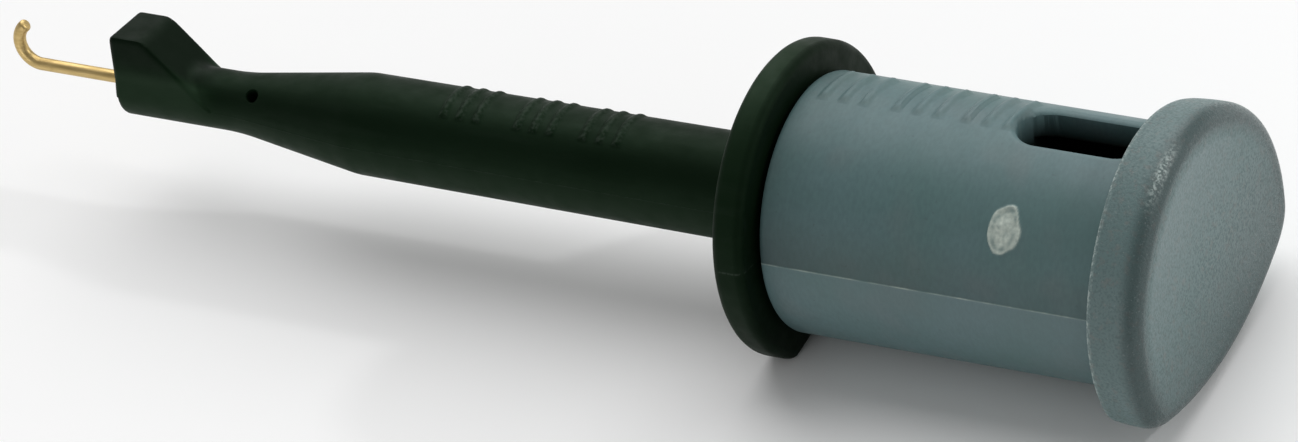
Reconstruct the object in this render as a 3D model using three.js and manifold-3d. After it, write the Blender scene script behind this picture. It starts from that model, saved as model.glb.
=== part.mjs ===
// Miniature hook test clip: the spring-loaded grabber at the tip of an oscilloscope probe or test lead.
// Millimetres. +X runs along the axis from the hook towards the thumb, +Z is up, and the clip lies on
// its flats at Z = 0. The origin is on the flat of the finger flange, straight below the axis.
// The plunger is shown pressed in, with the hook standing out of the nose.
// Every piece is built round the X axis, and the whole clip is then lifted by AXIS_Z.

import * as THREE from "three";
import { mergeVertices } from "three/addons/utils/BufferGeometryUtils.js";
import Module from "manifold-3d";

const wasm = await Module();
wasm.setup();

// ---- driving dimensions -------------------------------------------------------------------------

const AXIS_Z = 5.1; // height of the axis above the flats
const LEAN = THREE.MathUtils.degToRad(14); // the hook, nose and slot lean this far towards +Y
const GAP = 0.3; // clearance drawn between faces that touch on the real clip

const FLANGE = { start: -0.6, end: 0.82, radius: 6.7, corner: 0.5, edge: 0.4 };
const BARREL = { radius: 2.32, tipRadius: 2.24, coneStart: -20.9, coneEnd: -27.0, neckRadius: 1.3 };
const NOSE = { face: -32.87, plateauEnd: -31.15, rampEnd: -28.75, top: 2.9, rampZ: 0.7, inside: -28.0 };
const GUIDE = { radius: 4.05, bore: 3.2, end: 9.6, floor: 1.5 };
const PEEP = { x: -26.4, radius: 0.25, angle: THREE.MathUtils.degToRad(45) };
const WIRE = { radius: 0.28, bend: THREE.MathUtils.degToRad(142), arcRadius: 1.0, arcX: -37.38 };
const WIRE_BORE = WIRE.radius + GAP;
const TUBE = { start: FLANGE.end + GAP, end: 16.5, radius: 5.5, bore: GUIDE.radius + GAP };
const WEB = { start: 10.0, end: 11.0 };
const SLOT = { start: 11.1, width: 2.6 };
const TERMINAL = { start: WEB.end + GAP, end: 14.6, radius: 1.35, grip: 1.4, cup: 0.85, cupDepth: 1.3 };
const WIRE_END = TERMINAL.start + TERMINAL.grip;
const HEAD = { thickness: 2.3, radius: 7.15, low: 0.4, sole: 14.5, bottom: 4.7, corner: 0.9, edge: 0.8 };
const SPIGOT = { radius: 3.6, length: 1.2 };
const WASHER = { inner: 1.1, outer: 2.85, thickness: 0.4 };
const SPRING = { radius: 2.45, wire: 0.2, turns: 7 };

const HEAD_START = TUBE.end + GAP;
const WASHER_END = WEB.start - GAP;
const SPRING_START = GUIDE.floor + GAP + SPRING.wire;
const SPRING_END = WASHER_END - WASHER.thickness - GAP - SPRING.wire;

const WIDE = 9; // reaches past the outside of every piece
const OVERLAP = 0.4; // how far joined bodies run into each other, and cutters past a face
const ROUND = 48; // facets round the large turned pieces
const FINE = 20; // facets round the small ones

// ---- shape helpers ------------------------------------------------------------------------------

// A closed geometry with its shared points merged; triangles that the merge makes empty are dropped.
function toSolid(geometry) {
  const bare = geometry.clone();
  bare.deleteAttribute("normal");
  bare.deleteAttribute("uv");
  const merged = mergeVertices(bare, 1e-5);
  const triangles = [];
  for (let i = 0; i < merged.index.count; i += 3) {
    const [a, b, c] = merged.index.array.slice(i, i + 3);
    if (a !== b && b !== c && c !== a) triangles.push(a, b, c);
  }
  const mesh = new wasm.Mesh({
    numProp: 3,
    vertProperties: new Float32Array(merged.attributes.position.array),
    triVerts: new Uint32Array(triangles),
  });
  return new wasm.Manifold(mesh);
}

function toGeometry(solid) {
  const mesh = solid.getMesh();
  const geometry = new THREE.BufferGeometry();
  geometry.setAttribute("position", new THREE.BufferAttribute(mesh.vertProperties, 3));
  geometry.setIndex(new THREE.BufferAttribute(mesh.triVerts, 1));
  geometry.computeVertexNormals();
  return geometry;
}

function join(...geometries) {
  const solids = geometries.map(toSolid);
  return toGeometry(solids.reduce((whole, next) => whole.add(next)));
}

function cut(geometry, ...tools) {
  const solids = tools.map(toSolid);
  return toGeometry(solids.reduce((whole, tool) => whole.subtract(tool), toSolid(geometry)));
}

function common(first, second) {
  return toGeometry(toSolid(first).intersect(toSolid(second)));
}

// Turns a profile of [x, radius] points about the X axis.
function turned(profile, facets = ROUND) {
  const points = profile.map(([x, radius]) => new THREE.Vector2(radius, x));
  return new THREE.LatheGeometry(points, facets).rotateZ(-Math.PI / 2);
}

function rod(start, end, radius, facets = ROUND) {
  return turned([[start, 0], [start, radius], [end, radius], [end, 0]], facets);
}

function ring(start, end, inner, outer, facets = ROUND) {
  return turned([[start, inner], [start, outer], [end, outer], [end, inner], [start, inner]], facets);
}

function block([x0, y0, z0], [x1, y1, z1]) {
  const geometry = new THREE.BoxGeometry(x1 - x0, y1 - y0, z1 - z0);
  return geometry.translate((x0 + x1) / 2, (y0 + y1) / 2, (z0 + z1) / 2);
}

// Extrudes a shape drawn in the (Y, Z) plane along +X from the given start.
function alongX(shape, start, options) {
  const geometry = new THREE.ExtrudeGeometry(shape, options);
  const across = new THREE.Vector3(0, 1, 0);
  const up = new THREE.Vector3(0, 0, 1);
  const along = new THREE.Vector3(1, 0, 0);
  geometry.applyMatrix4(new THREE.Matrix4().makeBasis(across, up, along));
  return geometry.translate(start, 0, 0);
}

// Points of an arc from one angle towards another, leaving out the last one.
function arcPoints(centre, radius, from, to, steps) {
  const points = [];
  for (let i = 0; i < steps; i++) {
    const angle = from + ((to - from) * i) / steps;
    points.push(new THREE.Vector2(radius * Math.cos(angle), radius * Math.sin(angle)).add(centre));
  }
  return points;
}

// The flange's outline: a disc with a flat at the bottom, which the clip rests on, and rounded corners.
function flangeOutline() {
  const { radius, corner } = FLANGE;
  const down = -Math.PI / 2;
  const reach = radius - corner;
  const turn = Math.acos((AXIS_Z - corner) / reach);
  const middle = new THREE.Vector2();
  const left = new THREE.Vector2(-reach * Math.sin(turn), corner - AXIS_Z);
  const right = new THREE.Vector2(reach * Math.sin(turn), corner - AXIS_Z);
  return new THREE.Shape([
    ...arcPoints(middle, radius, down + turn, down - turn + 2 * Math.PI, 36),
    ...arcPoints(left, corner, down - turn, down, 6),
    new THREE.Vector2(left.x, -AXIS_Z),
    ...arcPoints(right, corner, down, down + turn, 6),
  ]);
}

// The head's outline: a disc set a little low, cut off below by a shallow arc that stays just clear
// of the flats' level. The corners between the two are rounded.
function headOutline() {
  const { radius, low, sole, bottom, corner } = HEAD;
  const discZ = -low;
  const soleZ = sole - bottom;
  const apart = soleZ - discZ;
  const rise = (apart ** 2 + (radius - corner) ** 2 - (sole - corner) ** 2) / (2 * apart);
  const side = Math.sqrt((radius - corner) ** 2 - rise ** 2);
  const discTurn = Math.atan2(rise, side);
  const soleTurn = Math.atan2(discZ + rise - soleZ, side);
  const left = new THREE.Vector2(-side, discZ + rise);
  const right = new THREE.Vector2(side, discZ + rise);
  return new THREE.Shape([
    ...arcPoints(new THREE.Vector2(0, discZ), radius, discTurn, Math.PI - discTurn, 36),
    ...arcPoints(left, corner, Math.PI - discTurn, Math.PI - soleTurn, 6),
    ...arcPoints(new THREE.Vector2(0, soleZ), sole, Math.PI - soleTurn, 2 * Math.PI + soleTurn, 12),
    ...arcPoints(right, corner, soleTurn, discTurn, 6),
  ]);
}

// An outline made solid between two X positions, with both rims rounded by edge.
function roundedSlab(outline, start, end, edge) {
  const options = {
    depth: end - start - 2 * edge,
    bevelEnabled: true,
    bevelThickness: edge,
    bevelSize: edge,
    bevelOffset: -edge,
    bevelSegments: 3,
  };
  return alongX(outline, start + edge, options);
}

// Tips a geometry that was drawn with the hook's plane upright over to the plane where it lies.
function leaning(geometry) {
  return geometry.rotateX(-LEAN);
}

function sweep(path, radius, sides, steps) {
  const section = new THREE.Shape();
  section.absarc(0, 0, radius, 0, 2 * Math.PI, false);
  const options = { extrudePath: path, steps, curveSegments: sides / 2, bevelEnabled: false };
  return new THREE.ExtrudeGeometry(section, options);
}

// ---- the barrel: nose, neck, cone, long barrel, finger flange and guide, moulded in one ------------

// The boot-shaped nose: a U section, cut to its side view.
function nose() {
  const half = BARREL.neckRadius;
  const section = new THREE.Shape();
  section.moveTo(half, NOSE.top);
  section.lineTo(-half, NOSE.top);
  section.lineTo(-half, 0);
  section.absarc(0, 0, half, Math.PI, 2 * Math.PI, false);
  const options = { depth: NOSE.inside - NOSE.face, bevelEnabled: false, curveSegments: 8 };
  const bar = alongX(section, NOSE.face, options);

  const side = new THREE.Shape();
  side.moveTo(NOSE.face - 1, -half - 1);
  side.lineTo(NOSE.inside + 1, -half - 1);
  side.lineTo(NOSE.inside + 1, 0);
  side.lineTo(NOSE.rampEnd, NOSE.rampZ);
  side.lineTo(NOSE.plateauEnd, NOSE.top);
  side.lineTo(NOSE.plateauEnd - 0.2, NOSE.top + 1);
  side.lineTo(NOSE.face - 1, NOSE.top + 1);
  const slab = new THREE.ExtrudeGeometry(side, { depth: 4 * half, bevelEnabled: false });
  slab.translate(0, 0, -2 * half).rotateX(Math.PI / 2);
  return leaning(common(bar, slab));
}

function barrel() {
  const body = turned([
    [NOSE.inside - OVERLAP, 0],
    [NOSE.inside - OVERLAP, BARREL.neckRadius],
    [BARREL.coneEnd, BARREL.neckRadius],
    [BARREL.coneStart, BARREL.tipRadius],
    [FLANGE.start + OVERLAP, BARREL.radius],
    [FLANGE.start + OVERLAP, 0],
  ]);
  const flange = roundedSlab(flangeOutline(), FLANGE.start, FLANGE.end, FLANGE.edge);
  const guide = rod(FLANGE.end - OVERLAP, GUIDE.end, GUIDE.radius);
  const springRoom = rod(GUIDE.floor, GUIDE.end + OVERLAP, GUIDE.bore);
  const wireBore = rod(NOSE.face - OVERLAP, GUIDE.floor + OVERLAP, WIRE_BORE, FINE);
  const peep = new THREE.CylinderGeometry(PEEP.radius, PEEP.radius, BARREL.radius, 12);
  peep.rotateX(Math.PI / 2).translate(PEEP.x, 0, (WIRE_BORE + BARREL.radius) / 2).rotateX(PEEP.angle - LEAN);
  return cut(join(nose(), body, flange, guide), springRoom, wireBore, peep);
}

// ---- the plunger ------------------------------------------------------------------------------------

function plungerTube() {
  const outside = rod(TUBE.start, TUBE.end, TUBE.radius);
  const chamber = rod(TUBE.start - OVERLAP, WEB.start, TUBE.bore);
  const rearRoom = rod(WEB.end, TUBE.end + OVERLAP, TUBE.bore);
  const wireHole = rod(WEB.start - OVERLAP, WEB.end + OVERLAP, WIRE_BORE, FINE);
  const underside = block([TUBE.start - 1, -WIDE, -WIDE], [TUBE.end + 1, WIDE, -AXIS_Z]);
  const half = SLOT.width / 2;
  const slotEnd = new THREE.CylinderGeometry(half, half, WIDE, FINE);
  slotEnd.rotateX(Math.PI / 2).translate(SLOT.start + half, 0, WIDE / 2);
  const slotRun = block([SLOT.start + half, -half, 0], [TUBE.end + 1, half, WIDE]);
  const slot = leaning(join(slotEnd, slotRun));
  return cut(outside, chamber, rearRoom, wireHole, underside, slot);
}

// The thumb head closes the tube's rear end with a short spigot.
function thumbHead() {
  const end = HEAD_START + HEAD.thickness;
  const pad = roundedSlab(headOutline(), HEAD_START - HEAD.edge, end, HEAD.edge);
  const front = block([HEAD_START - 2, -WIDE, -WIDE], [HEAD_START, WIDE, WIDE]);
  const spigot = rod(HEAD_START - SPIGOT.length, HEAD_START + OVERLAP, SPIGOT.radius, 32);
  return join(cut(pad, front), spigot);
}

// The hook's bend: an arc that starts on the axis and turns back towards the nose.
class HookBend extends THREE.Curve {
  getPoint(t) {
    const angle = WIRE.bend * t;
    const x = WIRE.arcX - WIRE.arcRadius * Math.sin(angle);
    return new THREE.Vector3(x, 0, WIRE.arcRadius * (1 - Math.cos(angle)));
  }
}

// The sprung wire: straight through the barrel, then bent into a hook in front of the nose.
function hookWire() {
  const straight = rod(WIRE.arcX - 0.02, WIRE_END, WIRE.radius, 12);
  const bend = sweep(new HookBend(), WIRE.radius, 12, 14);
  return leaning(join(straight, bend));
}

// A turned sleeve crimped on the wire, with a solder cup for the lead at its rear end.
function contactTerminal() {
  const body = rod(TERMINAL.start, TERMINAL.end, TERMINAL.radius, FINE);
  const socket = rod(TERMINAL.start - OVERLAP, WIRE_END + GAP, WIRE_BORE, FINE);
  const cup = rod(TERMINAL.end - TERMINAL.cupDepth, TERMINAL.end + OVERLAP, TERMINAL.cup, FINE);
  return cut(body, socket, cup);
}

// ---- the return spring and its washer ----------------------------------------------------------------

class Helix extends THREE.Curve {
  getPoint(t) {
    const angle = 2 * Math.PI * SPRING.turns * t;
    const x = SPRING_START + (SPRING_END - SPRING_START) * t;
    return new THREE.Vector3(x, SPRING.radius * Math.cos(angle), SPRING.radius * Math.sin(angle));
  }
}

function returnSpring() {
  return sweep(new Helix(), SPRING.wire, 6, SPRING.turns * 14);
}

function springWasher() {
  return ring(WASHER_END - WASHER.thickness, WASHER_END, WASHER.inner, WASHER.outer, 32);
}

// ---- assembly ----------------------------------------------------------------------------------------

const blackPlastic = { color: 0x1c211f, roughness: 0.55, metalness: 0 };
const greyPlastic = { color: 0x5c6c70, roughness: 0.5, metalness: 0 };
const grainyPlastic = { color: 0x637276, roughness: 0.65, metalness: 0 };
const goldPlate = { color: 0xcaa96a, roughness: 0.3, metalness: 1 };
const brass = { color: 0xb9975a, roughness: 0.35, metalness: 1 };
const steel = { color: 0xb4b6b8, roughness: 0.3, metalness: 1 };

function piece(name, geometry, finish) {
  const mesh = new THREE.Mesh(geometry, new THREE.MeshStandardMaterial(finish));
  mesh.name = name;
  return mesh;
}

const clip = new THREE.Group();
clip.add(
  piece("barrel", barrel(), blackPlastic),
  piece("plunger_tube", plungerTube(), greyPlastic),
  piece("thumb_head", thumbHead(), grainyPlastic),
  piece("hook_wire", hookWire(), goldPlate),
  piece("contact_terminal", contactTerminal(), brass),
  piece("return_spring", returnSpring(), steel),
  piece("spring_washer", springWasher(), steel),
);
clip.position.z = AXIS_Z;

export default clip;
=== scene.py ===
"""Looks of the miniature hook test clip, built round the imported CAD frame.

Lengths are millimetres until a mesh is made, where MM turns them into metres. Pieces are shaped round
the X axis, with angles measured from straight up towards +Y, and then lifted to the axis's height.
"""
import math

import bpy
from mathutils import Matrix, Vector, noise


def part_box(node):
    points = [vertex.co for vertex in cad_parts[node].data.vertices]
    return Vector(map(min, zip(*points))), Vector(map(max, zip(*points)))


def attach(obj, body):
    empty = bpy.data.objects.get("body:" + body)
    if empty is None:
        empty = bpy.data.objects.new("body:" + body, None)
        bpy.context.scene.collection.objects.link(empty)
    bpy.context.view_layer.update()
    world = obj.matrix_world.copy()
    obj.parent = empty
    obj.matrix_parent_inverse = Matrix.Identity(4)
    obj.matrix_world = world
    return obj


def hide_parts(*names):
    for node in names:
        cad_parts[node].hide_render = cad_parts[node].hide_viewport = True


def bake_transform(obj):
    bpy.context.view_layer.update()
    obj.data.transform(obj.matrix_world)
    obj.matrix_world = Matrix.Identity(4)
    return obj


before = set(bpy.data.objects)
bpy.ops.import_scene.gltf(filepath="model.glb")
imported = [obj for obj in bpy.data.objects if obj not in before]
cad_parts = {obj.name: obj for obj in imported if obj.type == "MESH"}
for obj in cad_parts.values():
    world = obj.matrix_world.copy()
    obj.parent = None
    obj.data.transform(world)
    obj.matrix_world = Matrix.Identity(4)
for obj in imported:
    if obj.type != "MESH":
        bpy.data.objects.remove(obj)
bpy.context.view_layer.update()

MM = 0.001
TURN = 2 * math.pi


def span(node):
    """Lowest and highest corner of a CAD node, in millimetres."""
    low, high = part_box(node)
    return Vector(low) / MM, Vector(high) / MM


# ---- places taken from the frame -----------------------------------------------------------------

washer_low, washer_high = span("spring_washer")
tube_low, tube_high = span("plunger_tube")
head_low, head_high = span("thumb_head")
barrel_low, barrel_high = span("barrel")
wire_low, wire_high = span("hook_wire")
terminal_low, terminal_high = span("contact_terminal")

CAD_GAP = 0.3  # clearance that the CAD leaves between touching faces
AXIS_Z = (washer_low.z + washer_high.z) / 2
TUBE_START = tube_low.x
HEAD_START = tube_high.x + CAD_GAP
HEAD_END = head_high.x
NOSE_FACE = barrel_low.x
GUIDE_END = barrel_high.x
WEB_START = washer_high.x + CAD_GAP
WIRE_END = wire_high.x
HOOK_END = wire_low.x
TERMINAL_END = terminal_high.x
WASHER_RADIUS = (washer_high.z - washer_low.z) / 2

# ---- driving sizes of the detail -----------------------------------------------------------------

FLAT = AXIS_Z  # the flats lie at Z = 0
LEAN = math.radians(14)  # the hook, nose, slot and ribs lean this far towards +Y
NEAR_SIDE = math.radians(-43.3)  # the side nearest the camera
SEAMS = (LEAN - math.pi / 2, LEAN + math.pi / 2)  # the mould's parting lines

FLANGE_START = -0.55
FLANGE_END = TUBE_START - 0.22
FLANGE_RADIUS = 6.7
FLANGE_CORNER = 0.5
FLANGE_BACK_EDGE = 0.42
FLANGE_FRONT_EDGE = 0.4
BARREL_RADIUS = 2.3
TIP_RADIUS = 2.2
CONE_START = -20.9
CONE_END = -27.0
NECK_RADIUS = 1.3
NOSE_TOP = 2.9
PLATEAU_END = -31.15
RAMP_END = -28.75
RAMP_FOOT = 0.7  # height of the ramp's line above the axis where it ends
NOSE_END = -28.0
NOSE_EDGE = 0.3
GUIDE_RADIUS = 4.05
GUIDE_BORE = 3.2
GUIDE_FLOOR = 1.5
PEEP_X = -25.98
PEEP_ANGLE = math.radians(-31)
PEEP_RADIUS = 0.27
PEEP_DEPTH = 0.9

TUBE_RADIUS = 5.5
TUBE_BORE = 4.35
TUBE_CORNER = 0.6
WEB_THICKNESS = 1.0
SLOT_START = 10.8
SLOT_END = 16.9
SLOT_WIDTH = 2.7
SLOT_EDGE = 0.35
SCAR_RINGS = (11.0, 13.2)  # the tube's rings are closest between these
SCAR = {"x": 12.2, "angle": math.radians(-43), "half_x": 0.72, "half_round": 1.08, "height": 0.07}

HEAD_RADIUS = 7.15
HEAD_LOW = 0.4  # the head's disc is centred this far below the axis
HEAD_BOTTOM = 4.85
SHOULDER = {"angle": math.radians(40), "depth": 0.14}  # the head's outline is a little flat there
GLINTS = {"angle": math.radians(-13), "spread": math.radians(19)}  # painted glints: pale highlight specks on the head's bend
FACE_PALE_SIDE = NEAR_SIDE + 0.5  # where round the axis the painted light on the head's face is brightest
HEAD_DRAFT = 0.1  # how much smaller the head is at its back face
SOLE_RADIUS = 14.5
HEAD_CORNER = 0.7
HEAD_EDGE = 0.8
HEAD_BACK_EDGE = 0.12
SPIGOT_RADIUS = 3.6
SPIGOT_LENGTH = 1.2

WIRE_RADIUS = 0.28
WIRE_RISE = 0.2  # the wire leaves the nose this far above the axis
RISE_START = -10  # in front of this the wire rises, over RISE_LENGTH
RISE_LENGTH = 15
HOOK_RADIUS = 1.0
HOOK_BEND = math.radians(142)
SPRING_RADIUS = 2.45
SPRING_WIRE = 0.2
SPRING_TURNS = 7  # working turns between the two closed ones
WASHER_THICKNESS = 0.4
WASHER_BORE = 1.1
SEAT_GAP = 0.02  # left between touching pieces inside the plunger

# Plain raised ribs across the top of the barrel and the tube, in groups of three.
RIBBED_START = -17.0  # the barrel's rings are closest between these
RIBBED_END = -7.0
BARREL_RIBS = {"groups": (-15.4, -11.8, -8.6), "pitch": 0.8, "width": 0.3, "length": 2.5,
               "angle": math.radians(9), "height": 0.09, "slope": 0.2, "radius": BARREL_RADIUS}
TUBE_RIBS = {"groups": (3.1, 6.5, 9.7), "pitch": 0.95, "width": 0.34, "length": 2.7,
             "angle": math.radians(20), "height": 0.15, "slope": 0.2, "radius": TUBE_RADIUS}


# ---- small sums ----------------------------------------------------------------------------------

def smooth(t):
    t = min(max(t, 0.0), 1.0)
    return t * t * (3 - 2 * t)


def ramp(value, start, end):
    """Eased from 0 at start to 1 at end; start may be the larger of the two."""
    return smooth((value - start) / (end - start))


def band(value, middle, half_width):
    """1 at the middle, eased to 0 at half_width on either side."""
    return smooth(1 - abs(value - middle) / half_width)


def soft_min(a, b, width):
    """The smaller of two numbers, with the corner between them rounded over width."""
    h = max(width - abs(a - b), 0.0) / width
    return min(a, b) - h * h * width / 4


def soft_max(a, b, width):
    return -soft_min(-a, -b, width)


def turn_between(angle, other):
    """Signed angle from other to angle, between minus and plus half a turn."""
    return (angle - other + math.pi) % TURN - math.pi


def quarter(steps):
    """Angles that divide a quarter turn evenly, both ends included."""
    return [math.pi / 2 * i / steps for i in range(steps + 1)]


def stations(start, end, step):
    """X positions from start towards end, about step apart, without the last one."""
    count = max(1, round((end - start) / step))
    return [start + (end - start) * i / count for i in range(count)]


def fan(middle, start, step, count):
    """Angles that begin start degrees past middle and go on in steps of step degrees."""
    return [middle + math.radians(start + step * i) for i in range(count)]


def ring_angles():
    """Angles of the points round a moulding: even ones, and finer ones where the detail is."""
    even = 240
    angles = [TURN * i / even for i in range(even)]
    half_degree = math.radians(0.5)
    for seam in SEAMS:
        angles += [seam - half_degree, seam, seam + half_degree]
    angles += fan(LEAN, 10.25, 0.5, 17) + fan(LEAN, -10.25, -0.5, 17)  # the slot's long edges
    angles += fan(SCAR["angle"], -12.1, 0.75, 33)
    return sorted(angle % TURN for angle in angles)


ANGLES = ring_angles()


# ---- mesh helpers --------------------------------------------------------------------------------

def lifted(x, y, z):
    return (x * MM, y * MM, (z + AXIS_Z) * MM)


def leaned(x, across, up):
    """Turns a place drawn with the hook's plane upright to where that plane lies."""
    c, s = math.cos(LEAN), math.sin(LEAN)
    return (x, across * c + up * s, up * c - across * s)


def finish_mesh(mesh, crease=38):
    """Smooth shading, with edges sharper than crease degrees kept sharp."""
    mesh.polygons.foreach_set("use_smooth", [True] * len(mesh.polygons))
    mesh.set_sharp_from_angle(angle=math.radians(crease))


def make_object(name, points, faces, material):
    mesh = bpy.data.meshes.new(name)
    mesh.from_pydata(points, [], faces)
    mesh.update()
    finish_mesh(mesh)
    mesh.materials.append(material)
    piece = bpy.data.objects.new(name, mesh)
    bpy.context.scene.collection.objects.link(piece)
    return piece


def ring(x, radius, angles=ANGLES):
    """Points round the axis at x. radius is a number or a function of the angle."""
    points = []
    for angle in angles:
        r = radius(angle) if callable(radius) else radius
        points.append((x, r * math.sin(angle), r * math.cos(angle)))
    return points


def loft(name, rings, material, closed=False):
    """Skins rings of equal size. Open stacks are capped at both ends, closed ones join end to start."""
    around = len(rings[0])
    points = [lifted(*p) for one in rings for p in one]
    faces = []
    last = len(rings) if closed else len(rings) - 1
    for i in range(last):
        here = i * around
        there = (i + 1) % len(rings) * around
        for j in range(around):
            k = (j + 1) % around
            faces.append((here + j, here + k, there + k, there + j))
    if not closed:
        start = (len(rings) - 1) * around
        faces.append(tuple(reversed(range(around))))
        faces.append(tuple(range(start, start + around)))
    return make_object(name, points, faces, material)


def cut_away(piece, cutter):
    """Takes the cutter's volume out of a piece, for good."""
    modifier = piece.modifiers.new("cut", "BOOLEAN")
    modifier.operation = "DIFFERENCE"
    modifier.object = cutter
    modifier.solver = "EXACT"
    graph = bpy.context.evaluated_depsgraph_get()
    mesh = bpy.data.meshes.new_from_object(piece.evaluated_get(graph))
    piece.modifiers.clear()
    piece.data = mesh
    finish_mesh(mesh)
    bpy.data.objects.remove(cutter)


def paint(piece, name, value):
    """Stores value(x, angle, radius) at every point, for the material to read.

    wear whitens the material, from 0 to 1: real wear, and painted glints on the head's bend. tone is
    painted
    shade and light: it darkens the material down to -1 and lightens it up to 1, the same in any light.
    """
    mesh = piece.data
    layer = mesh.attributes.new(name, "FLOAT", "POINT")
    for i, vertex in enumerate(mesh.vertices):
        x, y, z = vertex.co / MM
        z -= AXIS_Z
        layer.data[i].value = value(x, math.atan2(y, z), math.hypot(y, z))


def mount(piece, body, node):
    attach(piece, body)
    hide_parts(node)


# ---- camera: the photograph's viewing angle ------------------------------------------------------

def make_camera():
    tilt = math.radians(28.1)  # how far the thumb end comes out of the picture's plane
    slope = math.radians(9.86)  # how far the axis falls to the right
    roll = math.radians(43.3)  # turn about the axis from the side nearest the camera up to +Z
    distance = 379.3
    lens = 254.3
    across, down = -7.20, 0.82  # the picture's centre, from the centre of the tube's front edge

    axis = Vector((1, 0, 0))
    near = Vector((0, -math.sin(roll), math.cos(roll)))
    top = Vector((0, math.cos(roll), math.sin(roll)))
    towards = axis * math.sin(tilt) + near * math.cos(tilt)
    along = axis * math.cos(tilt) - near * math.sin(tilt)
    right = along * math.cos(slope) + top * math.sin(slope)
    up = top * math.cos(slope) - along * math.sin(slope)
    aim = Vector((TUBE_START, 0, AXIS_Z)) + right * across - up * down

    data = bpy.data.cameras.new("camera")
    data.lens = lens
    data.clip_start, data.clip_end = 0.01, 5
    camera = bpy.data.objects.new("camera", data)
    matrix = camera.matrix_world.copy()
    for row in range(3):
        matrix[row][0], matrix[row][1], matrix[row][2] = right[row], up[row], towards[row]
        matrix[row][3] = (aim + towards * distance)[row] * MM
    camera.matrix_world = matrix
    bpy.context.scene.collection.objects.link(camera)
    bpy.context.scene.camera = camera


make_camera()


# ---- materials -----------------------------------------------------------------------------------

class Finish:
    """A material being made: one Principled shader, fed from the object's own coordinates."""

    def __init__(self, name, metallic=0.0, specular=0.5):
        self.material = bpy.data.materials.new(name)
        self.material.use_nodes = True
        self.nodes = self.material.node_tree.nodes
        self.links = self.material.node_tree.links
        self.shader = self.nodes["Principled BSDF"]
        self.shader.inputs["Metallic"].default_value = metallic
        self.shader.inputs["Specular IOR Level"].default_value = specular
        self.place = self.nodes.new("ShaderNodeTexCoord").outputs["Object"]
        self.relief = None

    def set(self, socket, value):
        """Fills a socket with a constant or with another node's output."""
        if isinstance(value, bpy.types.NodeSocket):
            self.links.new(value, socket)
        elif isinstance(value, tuple) and socket.type == "RGBA":
            socket.default_value = (*value, 1)
        else:
            socket.default_value = value

    def noise(self, size, detail=3.0, stretch=1.0):
        """Noise with features about size mm wide, drawn out stretch times along the axis."""
        mapping = self.nodes.new("ShaderNodeMapping")
        mapping.inputs["Scale"].default_value = (1 / stretch, 1, 1)
        self.links.new(self.place, mapping.inputs["Vector"])
        texture = self.nodes.new("ShaderNodeTexNoise")
        texture.inputs["Scale"].default_value = 1 / (size * MM)
        texture.inputs["Detail"].default_value = detail
        self.links.new(mapping.outputs["Vector"], texture.inputs["Vector"])
        return texture.outputs["Fac"]

    def painted(self, name):
        attribute = self.nodes.new("ShaderNodeAttribute")
        attribute.attribute_name = name
        return attribute.outputs["Fac"]

    def shaded(self, colour, dark, light):
        """Painted shading: shifts a colour to dark where the mark is -1, and to light where it is 1."""
        painted_shading = self.painted("painted_shading")
        colour = self.mix(self.spread(painted_shading, 0, -1), colour, dark)
        return self.mix(self.spread(painted_shading, 0, 1), colour, light)

    def spread(self, value, low, high, to_low=0.0, to_high=1.0):
        node = self.nodes.new("ShaderNodeMapRange")
        for name, number in (("From Min", low), ("From Max", high)):
            node.inputs[name].default_value = number
        for name, number in (("To Min", to_low), ("To Max", to_high)):
            node.inputs[name].default_value = number
        self.set(node.inputs["Value"], value)
        return node.outputs["Result"]

    def sum(self, kind, one, other):
        node = self.nodes.new("ShaderNodeMath")
        node.operation = kind
        self.set(node.inputs[0], one)
        self.set(node.inputs[1], other)
        return node.outputs["Value"]

    def mix(self, factor, one, other):
        node = self.nodes.new("ShaderNodeMix")
        node.data_type = "RGBA"
        self.set(node.inputs["Factor"], factor)
        self.set([s for s in node.inputs if s.name == "A" and s.type == "RGBA"][0], one)
        self.set([s for s in node.inputs if s.name == "B" and s.type == "RGBA"][0], other)
        return [s for s in node.outputs if s.type == "RGBA"][0]

    def bump(self, height, depth, strength=1.0):
        """Adds relief of about depth mm on top of the relief that is already there."""
        node = self.nodes.new("ShaderNodeBump")
        node.inputs["Distance"].default_value = depth * MM
        node.inputs["Strength"].default_value = strength
        self.set(node.inputs["Height"], height)
        if self.relief:
            self.links.new(self.relief, node.inputs["Normal"])
        self.relief = node.outputs["Normal"]

    def done(self, colour, roughness):
        self.set(self.shader.inputs["Base Color"], colour)
        self.set(self.shader.inputs["Roughness"], roughness)
        if self.relief:
            self.links.new(self.relief, self.shader.inputs["Normal"])
        return self.material


def black_nylon():
    """Semi-matte black with a green cast, streaks, fine grain and pale scuffs where wear is painted."""
    finish = Finish("black_nylon", specular=0.1)
    finish.shader.inputs["Specular Tint"].default_value = (0.55, 1.0, 0.6, 1)
    cloud = finish.spread(finish.noise(3.0, 2, stretch=2.5), 0.35, 0.65)
    colour = finish.mix(cloud, (0.0016, 0.0070, 0.0020), (0.0036, 0.0106, 0.0042))
    streak = finish.spread(finish.noise(0.5, 4, stretch=9), 0.5, 0.75)
    colour = finish.mix(finish.sum("MULTIPLY", streak, 0.35), colour, (0.010, 0.018, 0.011))
    # painted shade and painted light, following the painted shading mark
    colour = finish.shaded(colour, (0.0004, 0.0018, 0.0006), (0.0150, 0.0300, 0.0160))
    scuff = finish.spread(finish.noise(0.16, 4), 0.42, 0.62)
    wear_and_glint_mask = finish.sum("MULTIPLY", finish.painted("wear_and_glints"), scuff)
    colour = finish.mix(wear_and_glint_mask, colour, (0.085, 0.105, 0.088))
    rough = finish.spread(finish.noise(0.8, 4), 0.3, 0.7, 0.46, 0.62)
    rough = finish.sum("ADD", rough, finish.sum("MULTIPLY", wear_and_glint_mask, 0.2))
    finish.bump(finish.noise(0.9, 3, stretch=2), 0.03, 0.5)
    finish.bump(finish.noise(0.09, 3), 0.006, 0.5)
    return finish.done(colour, rough)


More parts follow.
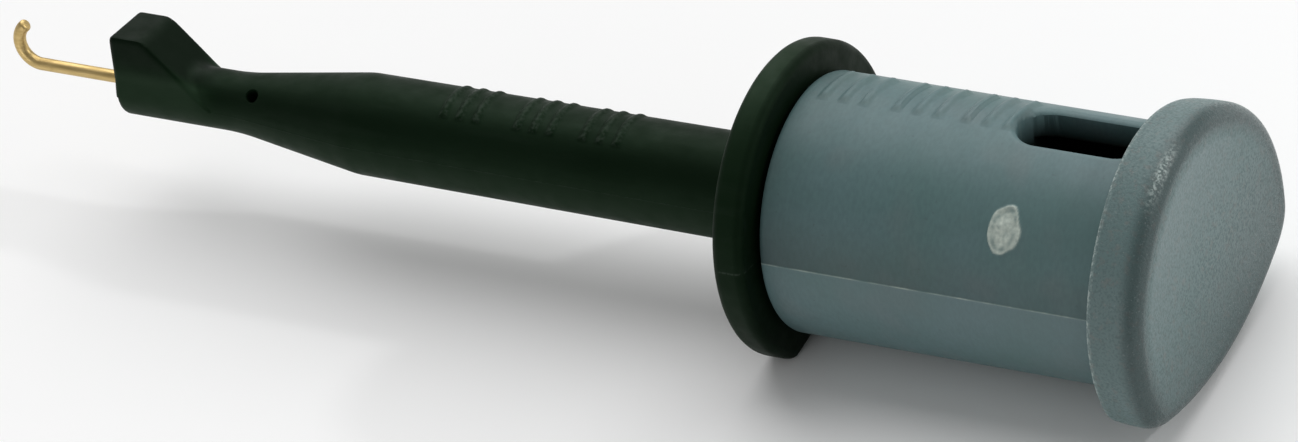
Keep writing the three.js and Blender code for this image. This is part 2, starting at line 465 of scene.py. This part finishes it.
def grey_plastic():
    """Smooth blue-grey with soft clouds and faint specks, whitened where wear is painted."""
    finish = Finish("grey_plastic", specular=0.3)
    cloud = finish.spread(finish.noise(4.0, 2, stretch=1.5), 0.35, 0.65)
    colour = finish.mix(cloud, (0.082, 0.152, 0.149), (0.094, 0.161, 0.168))
    warm = finish.spread(finish.noise(2.2, 1), 0.52, 0.72)
    colour = finish.mix(finish.sum("MULTIPLY", warm, 0.4), colour, (0.116, 0.152, 0.156))
    mottle = finish.spread(finish.noise(0.3, 3, stretch=0.5), 0.35, 0.65, 0, 0.3)
    colour = finish.mix(mottle, colour, (0.060, 0.104, 0.106))
    speck = finish.spread(finish.noise(0.22, 2), 0.70, 0.76, 0, 0.35)
    colour = finish.mix(speck, colour, (0.055, 0.078, 0.082))
    # painted shade and painted light, following the painted shading mark; near black inside the tube
    colour = finish.shaded(colour, (0.004, 0.008, 0.007), (0.180, 0.240, 0.255))
    pale = finish.spread(finish.noise(0.2, 4), 0.3, 0.65, 0.55, 1)
    wear_and_glint_mask = finish.sum("MULTIPLY", finish.painted("wear_and_glints"), pale)
    colour = finish.mix(wear_and_glint_mask, colour, (0.50, 0.56, 0.50))
    rough = finish.spread(finish.noise(1.0, 3), 0.3, 0.7, 0.40, 0.50)
    rough = finish.sum("ADD", rough, finish.sum("MULTIPLY", wear_and_glint_mask, 0.25))
    finish.bump(finish.noise(1.6, 2, stretch=2), 0.03, 0.4)
    finish.bump(finish.noise(0.12, 3), 0.005, 0.5)
    return finish.done(colour, rough)


def grained_grey_plastic():
    """Blue-grey with a fine spark-eroded grain and painted shading.

    Faint painted glints lie all over, and pale specks where the wear and glints mark is painted.
    """
    finish = Finish("grained_grey_plastic", specular=0.35)
    cloud = finish.spread(finish.noise(4.0, 2), 0.35, 0.65)
    colour = finish.mix(cloud, (0.106, 0.166, 0.165), (0.120, 0.178, 0.178))
    grain = finish.noise(0.11, 4)
    pit = finish.spread(grain, 0.36, 0.52)
    colour = finish.mix(pit, (0.092, 0.140, 0.140), colour)
    warm = finish.spread(finish.noise(0.3, 3), 0.55, 0.7, 0, 0.5)
    colour = finish.mix(warm, colour, (0.150, 0.158, 0.150))
    # painted shade and painted light, following the painted shading mark
    colour = finish.shaded(colour, (0.012, 0.024, 0.024), (0.220, 0.280, 0.285))
    # painted glints: faint pale highlight specks all over the grain
    glint = finish.spread(finish.noise(0.09, 2), 0.64, 0.72)
    colour = finish.mix(finish.sum("MULTIPLY", glint, 0.4), colour, (0.20, 0.24, 0.24))
    # pale specks where the wear and glints mark is painted: painted glints on the head's bend, a pale
    # line on its back rim
    speckle = finish.spread(finish.noise(0.14, 3), 0.46, 0.6, 0.15, 1)
    wear_and_glint_mask = finish.sum("MULTIPLY", finish.painted("wear_and_glints"), speckle)
    colour = finish.mix(wear_and_glint_mask, colour, (0.46, 0.54, 0.52))
    rough = finish.spread(finish.noise(0.11, 2), 0.35, 0.65, 0.60, 0.38)
    rough = finish.sum("ADD", rough, finish.spread(finish.painted("painted_shading"), 0, -0.4, 0, -0.14))
    finish.bump(finish.noise(2.5, 2), 0.05, 0.4)
    finish.bump(grain, 0.03, 0.75)
    return finish.done(colour, rough)


def gold_plate():
    """Thin pale gold with streaks along the axis, browner in patches."""
    finish = Finish("gold_plate", metallic=1.0)
    streak = finish.spread(finish.noise(0.09, 3, stretch=14), 0.3, 0.7)
    colour = finish.mix(streak, (0.50, 0.36, 0.14), (0.64, 0.48, 0.22))
    tarnish = finish.spread(finish.noise(0.9, 3, stretch=1.5), 0.52, 0.70)
    colour = finish.mix(finish.sum("MULTIPLY", tarnish, 0.6), colour, (0.26, 0.17, 0.06))
    rough = finish.spread(finish.noise(0.3, 3, stretch=3), 0.3, 0.7, 0.34, 0.50)
    finish.bump(finish.noise(0.05, 2, stretch=20), 0.004, 0.6)
    finish.bump(finish.noise(0.35, 3), 0.012, 0.5)
    return finish.done(colour, rough)


def brass():
    """Turned brass with fine tool rings and a little tarnish."""
    finish = Finish("brass", metallic=1.0)
    rings = finish.noise(0.07, 2, stretch=0.15)
    colour = finish.mix(finish.spread(rings, 0.3, 0.7), (0.42, 0.30, 0.12), (0.56, 0.42, 0.19))
    tarnish = finish.spread(finish.noise(0.7, 4), 0.48, 0.66)
    colour = finish.mix(tarnish, colour, (0.22, 0.15, 0.07))
    rough = finish.spread(finish.noise(0.4, 3), 0.3, 0.7, 0.30, 0.50)
    finish.bump(rings, 0.008, 0.7)
    return finish.done(colour, rough)


def stainless():
    """Drawn stainless wire and strip."""
    finish = Finish("stainless", metallic=1.0)
    streak = finish.spread(finish.noise(0.12, 4), 0.3, 0.7)
    colour = finish.mix(streak, (0.46, 0.46, 0.47), (0.62, 0.62, 0.63))
    rough = finish.spread(finish.noise(0.2, 3), 0.3, 0.7, 0.24, 0.40)
    finish.bump(finish.noise(0.08, 3), 0.004, 0.6)
    return finish.done(colour, rough)


BLACK = black_nylon()
GREY = grey_plastic()
GRAINED = grained_grey_plastic()
GOLD = gold_plate()
BRASS = brass()
STEEL = stainless()


# ---- outlines and relief -------------------------------------------------------------------------

def flatted(radius, corner, inset=0.0):
    """Radius by angle of a disc with a flat at the bottom and rounded corners, moved in by inset."""
    reach = radius - corner
    turn = math.acos((FLAT - corner) / reach)
    corner_y = reach * math.sin(turn)
    distance = math.hypot(corner_y, FLAT - corner)
    small = max(corner - inset, 0.01)

    def at(angle):
        below = math.pi - abs(turn_between(angle, 0))
        if below >= turn:
            return radius - inset
        if (FLAT - inset) * math.tan(below) <= corner_y:
            return (FLAT - inset) / math.cos(below)
        off = below - turn
        return distance * math.cos(off) + math.sqrt(max(small**2 - (distance * math.sin(off)) ** 2, 0))

    return at


def pad(inset=0.0):
    """Radius by angle of the head: a disc set a little low, cut off below by a shallow arc."""
    sole_centre = SOLE_RADIUS - HEAD_BOTTOM

    def at(angle):
        up, across = math.cos(angle), math.sin(angle)
        from_shoulder = abs(abs(turn_between(angle, 0)) - SHOULDER["angle"]) / SHOULDER["angle"]
        disc = -HEAD_LOW * up + math.sqrt((HEAD_RADIUS - inset) ** 2 - (HEAD_LOW * across) ** 2)
        disc -= SHOULDER["depth"] * smooth(1 - from_shoulder)
        sole = sole_centre * up + math.sqrt((SOLE_RADIUS - inset) ** 2 - (sole_centre * across) ** 2)
        return soft_min(disc, sole, HEAD_CORNER)

    return at


def off_axis(radius, rise):
    """Radius by angle of a circle whose centre is rise above the axis, in the hook's plane."""
    def at(angle):
        turn = turn_between(angle, LEAN)
        return rise * math.cos(turn) + math.sqrt(radius**2 - (rise * math.sin(turn)) ** 2)

    return at


def between(inner, outer, t):
    """An outline part of the way from a number to another outline."""
    return lambda angle: inner + (outer(angle) - inner) * t


def rib_shape(ribs, x, angle):
    """0 beside the ribs and 1 on top of them, with sloping sides."""
    round_way = abs(turn_between(angle, ribs["angle"])) * ribs["radius"]
    group = min(ribs["groups"], key=lambda g: abs(x - g))
    step = min(max(round((x - group) / ribs["pitch"]), -1), 1)
    along = abs(x - group - step * ribs["pitch"])
    side = min(ribs["width"] / 2 - along, ribs["length"] / 2 - round_way)
    return smooth(side / ribs["slope"] + 0.5)


def seam_shape(angle):
    """1 on a parting line, falling to 0 half a degree away."""
    off = min(abs(turn_between(angle, seam)) for seam in SEAMS)
    return max(0.0, 1 - off / math.radians(0.5))


def scar_distance(x, angle):
    """0 in the middle of the torn patch where the moulding was broken from its gate, 1 at its edge."""
    along = (x - SCAR["x"]) / SCAR["half_x"]
    round_way = turn_between(angle, SCAR["angle"]) * TUBE_RADIUS / SCAR["half_round"]
    ragged = 0.18 * noise.noise(Vector((along * 1.3, round_way * 1.3, 4.0)))
    return math.hypot(along, round_way) - ragged


def scar_height(x, angle):
    """A torn rim with a rough floor inside it."""
    distance = scar_distance(x, angle)
    if distance >= 1:
        return 0.0
    rim = smooth(1 - abs(distance - 0.9) / 0.13)
    place = Vector((x * 2.2, turn_between(angle, SCAR["angle"]) * TUBE_RADIUS * 2.2, 1.0))
    rough = 0.35 + 1.1 * noise.noise(place) + 0.4 * noise.noise(place * 2.3)
    return SCAR["height"] * (0.7 * rim + smooth((1 - distance) / 0.3) * rough)


def scar_wear(x, angle):
    """White at the torn rim and in the middle, and duller in a broken ring between them."""
    distance = scar_distance(x, angle)
    place = Vector((x * 3.0, turn_between(angle, SCAR["angle"]) * TUBE_RADIUS * 3.0, 7.0))
    ring_dulls = smooth(1 - abs(distance - 0.72) / 0.2) * (0.35 + 0.7 * noise.noise(place))
    return smooth((1 - distance) / 0.1) * min(1.0, 1 - ring_dulls)


def slot_distance(x, angle):
    """How far a place on the tube is outside the slot's outline."""
    turn = turn_between(angle, LEAN)
    if abs(turn) > math.pi / 2:
        return TUBE_RADIUS
    half = SLOT_WIDTH / 2
    nearest = min(max(x, SLOT_START + half), SLOT_END - half)
    return math.hypot(x - nearest, TUBE_RADIUS * math.sin(turn)) - half


# ---- barrel --------------------------------------------------------------------------------------

def nose_height(x):
    """Height of the nose's top above the axis: a plateau and a ramp down to the neck."""
    t = (x - PLATEAU_END) / (RAMP_END - PLATEAU_END)
    line = NOSE_TOP + (RAMP_FOOT - NOSE_TOP) * t
    return soft_min(NOSE_TOP, line, 0.3)


def nose_outline(x, inset=0.0):
    """U section: a half round below, upright sides, and a top that follows nose_height."""
    half = NECK_RADIUS - inset
    height = nose_height(x) - inset

    def at(angle):
        turn = turn_between(angle, LEAN)
        up, across = math.cos(turn), abs(math.sin(turn))
        if up <= 0 or height <= 0:
            return half
        side = half / max(across, 1e-6)
        top = height / up
        corner = 0.3 / max(up, 0.45)
        return soft_max(soft_min(side, top, corner), half, 0.3)

    return at


def barrel_radius(x):
    cone = TIP_RADIUS + (NECK_RADIUS - TIP_RADIUS) * (x - CONE_START) / (CONE_END - CONE_START)
    slim = BARREL_RADIUS + (TIP_RADIUS - BARREL_RADIUS) * x / CONE_START
    return soft_max(soft_min(cone, slim, 0.04), NECK_RADIUS, 0.12)


def barrel_outline(x):
    radius = barrel_radius(x)

    def at(angle):
        ribs = BARREL_RIBS["height"] * rib_shape(BARREL_RIBS, x, angle)
        return radius + ribs + 0.008 * seam_shape(angle)

    return at


def nose_rings():
    """The wire's bore, the nose's face with its rounded edge, and the nose back to the neck."""
    bore = WIRE_RADIUS + 0.05
    mouth = 0.06  # chamfer where the bore opens on the face
    rings = [
        ring(NOSE_FACE + 1.5, off_axis(bore, WIRE_RISE)),
        ring(NOSE_FACE + mouth, off_axis(bore, WIRE_RISE)),
        ring(NOSE_FACE, off_axis(bore + mouth, WIRE_RISE)),
    ]
    for angle in reversed(quarter(7)):
        x = NOSE_FACE + NOSE_EDGE * (1 - math.sin(angle))
        inset = NOSE_EDGE * (1 - math.cos(angle))
        rings.append(ring(x, nose_outline(x, inset)))
    for x in stations(NOSE_FACE + NOSE_EDGE + 0.05, NOSE_END, 0.06):
        rings.append(ring(x, nose_outline(x)))
    return rings


def flange_rings():
    root = 0.25  # fillet between the barrel and the flange's back face
    rings = []
    for angle in quarter(5):
        x = FLANGE_START - root * (1 - math.sin(angle))
        rings.append(ring(x, BARREL_RADIUS + root * (1 - math.cos(angle))))
    back = flatted(FLANGE_RADIUS, FLANGE_CORNER, FLANGE_BACK_EDGE)
    for t in (0.3, 0.6, 0.9):
        rings.append(ring(FLANGE_START, between(BARREL_RADIUS + root, back, t)))
    for angle in quarter(5):
        x = FLANGE_START + FLANGE_BACK_EDGE * (1 - math.cos(angle))
        inset = FLANGE_BACK_EDGE * (1 - math.sin(angle))
        rings.append(ring(x, flatted(FLANGE_RADIUS, FLANGE_CORNER, inset)))
    for angle in quarter(10):
        x = FLANGE_END - FLANGE_FRONT_EDGE * (1 - math.sin(angle))
        inset = FLANGE_FRONT_EDGE * (1 - math.cos(angle))
        rings.append(ring(x, flatted(FLANGE_RADIUS, FLANGE_CORNER, inset)))
    return rings


def guide_rings():
    """The sleeve that runs inside the plunger, with the spring's room in it."""
    edge = 0.15
    return [
        ring(FLANGE_END, GUIDE_RADIUS + edge),
        ring(FLANGE_END + edge, GUIDE_RADIUS),
        ring(GUIDE_END - edge, GUIDE_RADIUS),
        ring(GUIDE_END, GUIDE_RADIUS - edge),
        ring(GUIDE_END, GUIDE_BORE + edge),
        ring(GUIDE_END - edge, GUIDE_BORE),
        ring(GUIDE_FLOOR, GUIDE_BORE),
    ]


def barrel_wear(x, angle, radius):
    """Scuffs on the flange's back rim, the ribs' edges and the parting line."""
    rim_depth = 0.45
    if abs(x - FLANGE_START) < 0.35 and radius > FLANGE_RADIUS - rim_depth:
        return 0.3 * band(x, FLANGE_START + 0.06, 0.14)
    rib = rib_shape(BARREL_RIBS, x, angle)
    if radius < BARREL_RADIUS + 0.3 and x > CONE_START:
        return 0.4 * rib * (1 - 0.55 * rib) + 0.25 * seam_shape(angle)
    if x > FLANGE_START and radius > GUIDE_RADIUS + 1:
        return 0.35 * seam_shape(angle)
    return 0.0


def barrel_shading(x, angle, radius):
    """Painted shading: paler low on the near side and on the flange's rim, darker on the nose's top."""
    below = math.degrees(turn_between(NEAR_SIDE, angle))  # degrees below the near side
    # painted light low on the near side, and a band of painted shade along the near side
    pale_low = 0.75 * ramp(below, 15, 70)
    dark_line = 0.4 * band(below, -5, 35)
    painted_shading = pale_low - dark_line
    # painted shade on the nose's top, painted light on its sides
    on_nose = ramp(x, RAMP_END + 1.4, RAMP_END - 0.4)
    on_top = ramp(math.cos(turn_between(angle, LEAN)), 0.6, 0.9)
    nose_shading = 0.7 - 1.5 * on_top
    painted_shading += (nose_shading - painted_shading) * on_nose
    # painted shade over the flange's front and the sleeve behind it, and a painted highlight in an arc
    # on the flange's rim
    if x > FLANGE_START + 0.05:
        on_edge = ramp(radius, FLANGE_RADIUS - 0.35, FLANGE_RADIUS - 0.15)
        on_rim = on_edge * ramp(x, FLANGE_END - 0.2, FLANGE_END - 0.5)
        pale_arc = 0.8 * band(below, -50, 45)
        painted_shading = -0.5 + on_rim * (0.5 + pale_arc)
    return painted_shading


def peep_cutter():
    """A short rod through the neck's wall, with a rounded mouth."""
    direction = (math.sin(PEEP_ANGLE), math.cos(PEEP_ANGLE))
    side = (math.cos(PEEP_ANGLE), -math.sin(PEEP_ANGLE))
    surface = barrel_radius(PEEP_X)
    sides = 32
    rows = (
        (surface - PEEP_DEPTH, PEEP_RADIUS * 0.9),
        (surface - 0.12, PEEP_RADIUS),
        (surface - 0.03, PEEP_RADIUS + 0.05),
        (surface + 0.3, PEEP_RADIUS + 0.2),
    )
    rings = []
    for out, radius in rows:
        one = []
        for j in range(sides):
            turn = TURN * j / sides
            x = PEEP_X + radius * math.cos(turn)
            off = radius * math.sin(turn)
            one.append((x, out * direction[0] + off * side[0], out * direction[1] + off * side[1]))
        rings.append(one)
    return loft("peep_cutter", rings, BLACK)


def make_barrel():
    rings = nose_rings()
    for x in stations(NOSE_END, RIBBED_START, 0.12):
        rings.append(ring(x, barrel_outline(x)))
    for x in stations(RIBBED_START, RIBBED_END, 0.07):
        rings.append(ring(x, barrel_outline(x)))
    for x in stations(RIBBED_END, FLANGE_START - 0.3, 0.3):
        rings.append(ring(x, barrel_outline(x)))
    rings += flange_rings() + guide_rings()
    piece = loft("barrel_moulding", rings, BLACK)
    cut_away(piece, peep_cutter())
    paint(piece, "wear_and_glints", barrel_wear)
    paint(piece, "painted_shading", barrel_shading)
    mount(piece, "barrel", "barrel")


# ---- plunger -------------------------------------------------------------------------------------

def tube_outline(x, inset=0.0):
    base = flatted(TUBE_RADIUS, TUBE_CORNER, inset)

    def at(angle):
        radius = base(angle) + TUBE_RIBS["height"] * rib_shape(TUBE_RIBS, x, angle)
        radius += 0.03 * seam_shape(angle) + scar_height(x, angle)
        inside = max(SLOT_EDGE - max(slot_distance(x, angle), 0.0), 0.0)
        return radius - (SLOT_EDGE - math.sqrt(SLOT_EDGE**2 - inside**2))

    return at


def tube_wear(x, angle, radius):
    """Whitened gate scar and parting line, and faint pale edges on the ribs."""
    if radius < TUBE_RADIUS - 0.2:
        return 0.0
    rib = rib_shape(TUBE_RIBS, x, angle)
    patchy = 0.6 + 0.9 * noise.noise(Vector((x * 1.1, 0.0, 2.0)))
    return max(scar_wear(x, angle), 0.7 * seam_shape(angle) * patchy, 0.3 * rib * (1 - rib))


def tube_shading(x, angle, radius):
    """Painted shading: darker above the near parting line, paler below it, and darkest inside."""
    # painted shadow inside the tube
    if radius < TUBE_RADIUS - 0.45:
        return -1.0
    # painted shade next to the flange, easing to painted light towards the head
    along = (x - TUBE_START) / (HEAD_START - TUBE_START)
    base = 0.2 * along - 0.08 - 0.12 * ramp(along, 0.25, 0)
    # painted shade above the near parting line, painted light below it
    above = math.degrees(turn_between(angle, SEAMS[0]))  # degrees above the near parting line
    if above >= 0:
        return base - 0.32 * ramp(above, 30, 0)
    return base + 0.24 * ramp(above, -45, 0)


def slot_cutter():
    """A bar with round ends, through the tube's wall where the hook's plane meets it."""
    half = SLOT_WIDTH / 2
    steps = 24
    outline = []
    for end, start_angle in ((SLOT_END - half, -90), (SLOT_START + half, 90)):
        for i in range(steps + 1):
            angle = math.radians(start_angle + 180 * i / steps)
            outline.append((end + half * math.cos(angle), half * math.sin(angle)))
    rings = [[leaned(x, across, up) for x, across in outline] for up in (4.0, 8.0)]
    return loft("slot_cutter", rings, GREY)


def make_tube():
    edge = 0.12
    hole = WIRE_RADIUS + 0.1
    web_end = WEB_START + WEB_THICKNESS
    path = [
        (TUBE_START + edge, TUBE_BORE),
        (TUBE_START, TUBE_BORE + edge),
        (TUBE_START, tube_outline(TUBE_START, edge)),
        (TUBE_START + edge * 0.3, tube_outline(TUBE_START, edge * 0.3)),
    ]
    fine_start, fine_end = SCAR_RINGS
    places = stations(TUBE_START + edge, fine_start, 0.08)
    places += stations(fine_start, fine_end, 0.06)
    places += stations(fine_end, HEAD_START, 0.15) + [HEAD_START]
    path += [(x, tube_outline(x)) for x in places]
    path += [(HEAD_START, TUBE_BORE), (web_end, TUBE_BORE), (web_end, hole)]
    path += [(WEB_START, hole), (WEB_START, TUBE_BORE)]
    piece = loft("plunger_barrel", [ring(x, radius) for x, radius in path], GREY, closed=True)
    cut_away(piece, slot_cutter())
    paint(piece, "wear_and_glints", tube_wear)
    paint(piece, "painted_shading", tube_shading)
    mount(piece, "plunger", "plunger_tube")


def head_wear_and_glints(x, angle, radius):
    """A pale line along the head's back rim, and painted glints, pale highlight specks, on its bend."""
    if x < HEAD_START + 2 * HEAD_BACK_EDGE:
        rim = pad(HEAD_DRAFT + HEAD_BACK_EDGE)(angle)
        return band(x, HEAD_START, 1.6 * HEAD_BACK_EDGE) * ramp(radius, rim - 0.15, rim - 0.05)
    # painted glints: pale highlight specks on the bend
    round_way = band(turn_between(angle, GLINTS["angle"]), 0, GLINTS["spread"])
    return 0.8 * round_way * band(x, HEAD_END - 0.38, 0.3)


def head_shading(x, angle, radius):
    """Painted shading: painted shade on the bend, and painted light on the face, growing towards one
    side.
    """
    if x < HEAD_START + 0.01:
        return 0.0
    # painted shade on the bend
    bend = -0.65 * ramp(x, HEAD_END - 1.0, HEAD_END - 0.3)
    # painted light on the face, brightest towards FACE_PALE_SIDE
    near = radius * math.cos(turn_between(angle, FACE_PALE_SIDE)) / HEAD_RADIUS
    face = 0.75 * near - 0.1
    from_rim = pad(0)(angle) - radius
    on_face = ramp(from_rim, 0.7 * HEAD_EDGE, 1.6 * HEAD_EDGE)
    return bend + (face - bend) * on_face


def make_head():
    front = HEAD_START - SPIGOT_LENGTH
    back = pad(HEAD_DRAFT + HEAD_BACK_EDGE)
    rings = [
        ring(front, SPIGOT_RADIUS - 0.1),
        ring(front + 0.1, SPIGOT_RADIUS),
        ring(HEAD_START, SPIGOT_RADIUS),
        ring(HEAD_START, between(SPIGOT_RADIUS, back, 0.5)),
        ring(HEAD_START, between(SPIGOT_RADIUS, back, 0.95)),
    ]
    for angle in quarter(4):
        x = HEAD_START + HEAD_BACK_EDGE * (1 - math.cos(angle))
        rings.append(ring(x, pad(HEAD_DRAFT + HEAD_BACK_EDGE * (1 - math.sin(angle)))))
    wall_end = HEAD_END - HEAD_EDGE
    for x in stations(HEAD_START + 2 * HEAD_BACK_EDGE, wall_end, 0.2):
        t = (x - HEAD_START) / (wall_end - HEAD_START)
        rings.append(ring(x, pad(HEAD_DRAFT * (1 - t) ** 2)))
    for angle in quarter(14):
        x = HEAD_END - HEAD_EDGE * (1 - math.sin(angle))
        rings.append(ring(x, pad(HEAD_EDGE * (1 - math.cos(angle)))))
    for t in (0.9, 0.75, 0.6, 0.45, 0.3, 0.15, 0.04):
        rings.append(ring(HEAD_END, between(0, pad(HEAD_EDGE), t)))
    piece = loft("thumb_pad", rings, GRAINED)
    paint(piece, "wear_and_glints", head_wear_and_glints)
    paint(piece, "painted_shading", head_shading)
    mount(piece, "plunger", "thumb_head")


# ---- hook wire, terminal, spring and washer ------------------------------------------------------

def round_section(place, direction, radius, sides):
    """Points of a circle round place, square to a direction that lies in the hook's plane."""
    x, up = place
    one = []
    for j in range(sides):
        turn = TURN * j / sides
        rise = radius * math.cos(turn)
        out = x + rise * math.sin(direction)
        one.append(leaned(out, radius * math.sin(turn), up + rise * math.cos(direction)))
    return one


def make_wire():
    """A round wire along the barrel, bent back at the front into the hook, with a rounded tip."""
    steps = 40
    sides = 32
    bend_x = HOOK_END + HOOK_RADIUS + WIRE_RADIUS
    rows = [(WIRE_END, 0.0, 0.0, 0.75)]
    rising = [RISE_START - i for i in range(RISE_LENGTH + 1)]
    for x in [WIRE_END] + rising + [NOSE_FACE, bend_x]:
        rows.append((x, WIRE_RISE * smooth((RISE_START - x) / RISE_LENGTH), 0.0, 1.0))
    for i in range(1, steps + 1):
        angle = HOOK_BEND * i / steps
        x = bend_x - HOOK_RADIUS * math.sin(angle)
        rows.append((x, WIRE_RISE + HOOK_RADIUS * (1 - math.cos(angle)), angle, 1.0))
    x, up, angle, _ = rows[-1]
    for turn in quarter(4)[1:]:
        out = 0.45 * WIRE_RADIUS * math.sin(turn)
        size = 0.35 + 0.65 * math.cos(turn)
        rows.append((x - out * math.cos(angle), up + out * math.sin(angle), angle, size))
    rings = []
    for x, up, angle, size in rows:
        rings.append(round_section((x, up), angle, WIRE_RADIUS * size, sides))
    piece = loft("hook", rings, GOLD)
    mount(piece, "plunger", "hook_wire")


def make_terminal():
    """Turned sleeve crimped on the wire, with a groove round it and a solder cup at the rear."""
    start = WEB_START + WEB_THICKNESS + SEAT_GAP
    end = TERMINAL_END
    bore = WIRE_RADIUS + SEAT_GAP
    radius = 1.35
    cup = 0.85  # radius of the solder cup
    grip = 1.4  # depth of the solder cup
    sides = 64
    profile = [
        (start, bore), (start, radius - 0.1), (start + 0.1, radius),
        (start + 0.9, radius), (start + 1.0, radius - 0.2), (start + 1.3, radius - 0.2),
        (start + 1.4, radius), (end - 0.1, radius), (end, radius - 0.1), (end, cup + 0.08),
        (end - 0.08, cup), (end - grip, cup), (end - grip - 0.3, bore),
    ]
    even = [TURN * i / sides for i in range(sides)]
    piece = loft("solder_cup", [ring(x, r, even) for x, r in profile], BRASS, closed=True)
    mount(piece, "plunger", "contact_terminal")


def make_spring(start, end):
    """A helix with one closed turn at each end; it stretches between the barrel and the plunger."""
    steps = 40  # rings in one turn
    sides = 12
    closed_pitch = 2 * SPRING_WIRE + SEAT_GAP
    lead = (end - start - 2 * SPRING_WIRE - 2 * closed_pitch) / SPRING_TURNS
    rings = []
    for i in range((SPRING_TURNS + 2) * steps + 1):
        turns = i / steps
        working = min(max(turns - 1, 0), SPRING_TURNS)
        x = start + SPRING_WIRE + working * lead + (turns - working) * closed_pitch
        angle = turns * TURN
        one = []
        for j in range(sides):
            turn = TURN * j / sides
            r = SPRING_RADIUS + SPRING_WIRE * math.cos(turn)
            one.append((x + SPRING_WIRE * math.sin(turn), r * math.sin(angle), r * math.cos(angle)))
        rings.append(one)
    piece = loft("coil", rings, STEEL)
    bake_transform(piece)
    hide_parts("return_spring")


def make_washer(start, end):
    edge = 0.06
    sides = 96
    profile = [
        (start + edge, WASHER_BORE), (start, WASHER_BORE + edge), (start, WASHER_RADIUS - edge),
        (start + edge, WASHER_RADIUS), (end - edge, WASHER_RADIUS), (end, WASHER_RADIUS - edge),
        (end, WASHER_BORE + edge), (end - edge, WASHER_BORE),
    ]
    even = [TURN * i / sides for i in range(sides)]
    piece = loft("washer", [ring(x, r, even) for x, r in profile], STEEL, closed=True)
    mount(piece, "plunger", "spring_washer")


make_barrel()
make_tube()
make_head()
make_wire()
make_terminal()
washer_end = WEB_START - SEAT_GAP
washer_start = washer_end - WASHER_THICKNESS
make_washer(washer_start, washer_end)
make_spring(GUIDE_FLOOR + SEAT_GAP, washer_start - SEAT_GAP)


# ---- floor and light -----------------------------------------------------------------------------

def make_floor():
    size = 0.6
    low = -0.02 * MM  # just under the clip's flats
    corners = [(-size, -size, low), (size, -size, low), (size, size, low), (-size, size, low)]
    mesh = bpy.data.meshes.new("floor")
    mesh.from_pydata(corners, [], [(0, 1, 2, 3)])
    finish = Finish("floor", specular=0.1)
    mesh.materials.append(finish.done((0.94, 0.94, 0.94), 0.9))
    floor = bpy.data.objects.new("floor", mesh)
    bpy.context.scene.collection.objects.link(floor)


def light(kind, name, direction, distance, energy, size):
    """A light on the clip from a direction; distance and size are metres, or an angle for a sun."""
    data = bpy.data.lights.new(name, kind)
    data.energy = energy
    if kind == "SUN":
        data.angle = size
    else:
        data.size = size
    lamp = bpy.data.objects.new(name, data)
    place = Vector(direction).normalized()
    lamp.location = place * distance
    lamp.rotation_euler = place.to_track_quat("Z", "Y").to_euler()
    bpy.context.scene.collection.objects.link(lamp)


make_floor()
light("SUN", "key", (-0.2, 0.62, 0.85), 0.5, 2.3, math.radians(70))
light("AREA", "thumb_side", (1, 0.25, 0.3), 0.35, 0.2, 0.25)
light("AREA", "low_front", (-0.2, -1, 0.2), 0.4, 0.16, 0.15)
light("AREA", "spark", (0.72, 0.44, 0.53), 0.3, 0.14, 0.015)
world = bpy.data.worlds.new("studio")
world.use_nodes = True
background = world.node_tree.nodes["Background"]
background.inputs["Color"].default_value = (1, 1, 1, 1)
background.inputs["Strength"].default_value = 0.32
bpy.context.scene.world = world
bpy.context.scene.view_settings.view_transform = "Standard"
